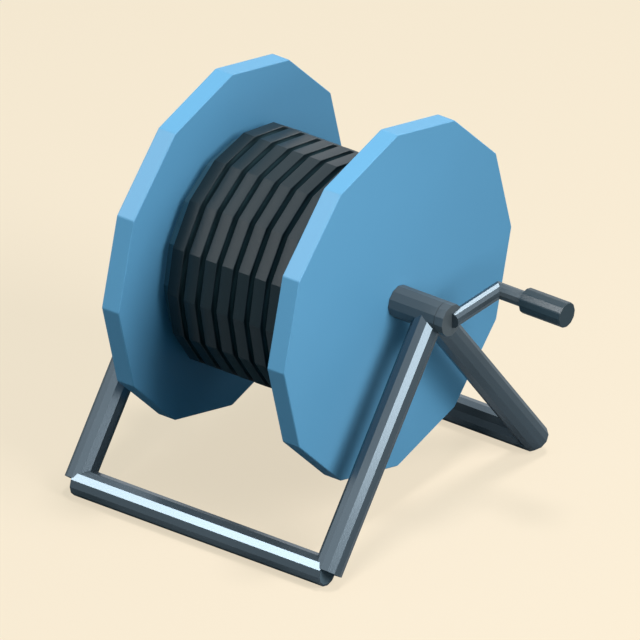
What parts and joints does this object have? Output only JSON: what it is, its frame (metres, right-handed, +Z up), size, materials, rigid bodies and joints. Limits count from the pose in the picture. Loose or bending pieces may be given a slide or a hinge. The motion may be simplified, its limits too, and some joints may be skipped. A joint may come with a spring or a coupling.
{
  "type": "cable reel",
  "caption": "Crank-driven cable reel: blue faceted flanges on a black cable winding, carried by an axle in a dark steel A-frame tube stand with foot bars.",
  "frame": {"origin": "on the floor, under the middle of the drum", "axes": "+X along the axle towards the crank, +Y towards the rear foot tube, +Z up"},
  "size_m": [0.4736, 0.3996, 0.4478],
  "materials": {
    "flange_blue": "blue moulded plastic, satin",
    "stand_steel": "dark polished steel tube with flat facets",
    "bright_steel": "zinc plated steel",
    "bush_nylon": "natural nylon",
    "plug_plastic": "black moulded plastic",
    "seat_board": "plain sealed plywood",
    "barrel_black": "black moulded plastic",
    "cable_rubber": "black rubber sheath with a dull sheen",
    "trim_rubber": "plain black rubber",
    "grip_plastic": "dark blue-grey moulded plastic"
  },
  "bodies": {
    "stand": {"foot_tube_front": "stand_steel", "foot_tube_rear": "stand_steel", "leg_left_front": "stand_steel", "leg_left_rear": "stand_steel", "leg_right_front": "stand_steel", "leg_right_rear": "stand_steel", "bearing_sleeve_left": "stand_steel", "bearing_sleeve_right": "stand_steel", "bush_left_inner": "bush_nylon", "bush_left_outer": "bush_nylon", "bush_right_inner": "bush_nylon", "bush_right_outer": "bush_nylon", "foot_end_plugs": "plug_plastic", "leg_end_plugs": "plug_plastic"},
    "reel": {"flange_left": "flange_blue", "flange_right": "flange_blue", "barrel_seat_left": "seat_board", "barrel_seat_right": "seat_board", "drum_barrel": "barrel_black", "drive_collar_left": "bright_steel", "drive_collar_right": "bright_steel", "thrust_washer_left": "bright_steel", "thrust_washer_right": "bright_steel", "axle": "stand_steel", "end_collar": "stand_steel", "cable": "cable_rubber", "cable_grommet": "trim_rubber", "cable_stop": "trim_rubber", "cable_end_cap": "trim_rubber", "cable_saddle": "bright_steel", "barrel_screws": "bright_steel", "collar_screws": "bright_steel", "cross_pins": "bright_steel", "saddle_screws": "bright_steel", "crank_arm": "stand_steel", "crank_spindle": "stand_steel", "spindle_washer": "bright_steel", "spindle_clip": "bright_steel"},
    "grip": {"grip": "grip_plastic", "grip_cap": "grip_plastic"}
  },
  "joints": [
    {"name": "reel_spin", "type": "hinge", "parent": "stand", "child": "reel", "pos_m": [0, 0, 0.248], "axis": [1, 0, 0], "continuous": true},
    {"name": "grip_spin", "type": "hinge", "parent": "reel", "child": "grip", "pos_m": [0.2282, 0.082, 0.248], "axis": [1, 0, 0], "continuous": true}
  ]
}
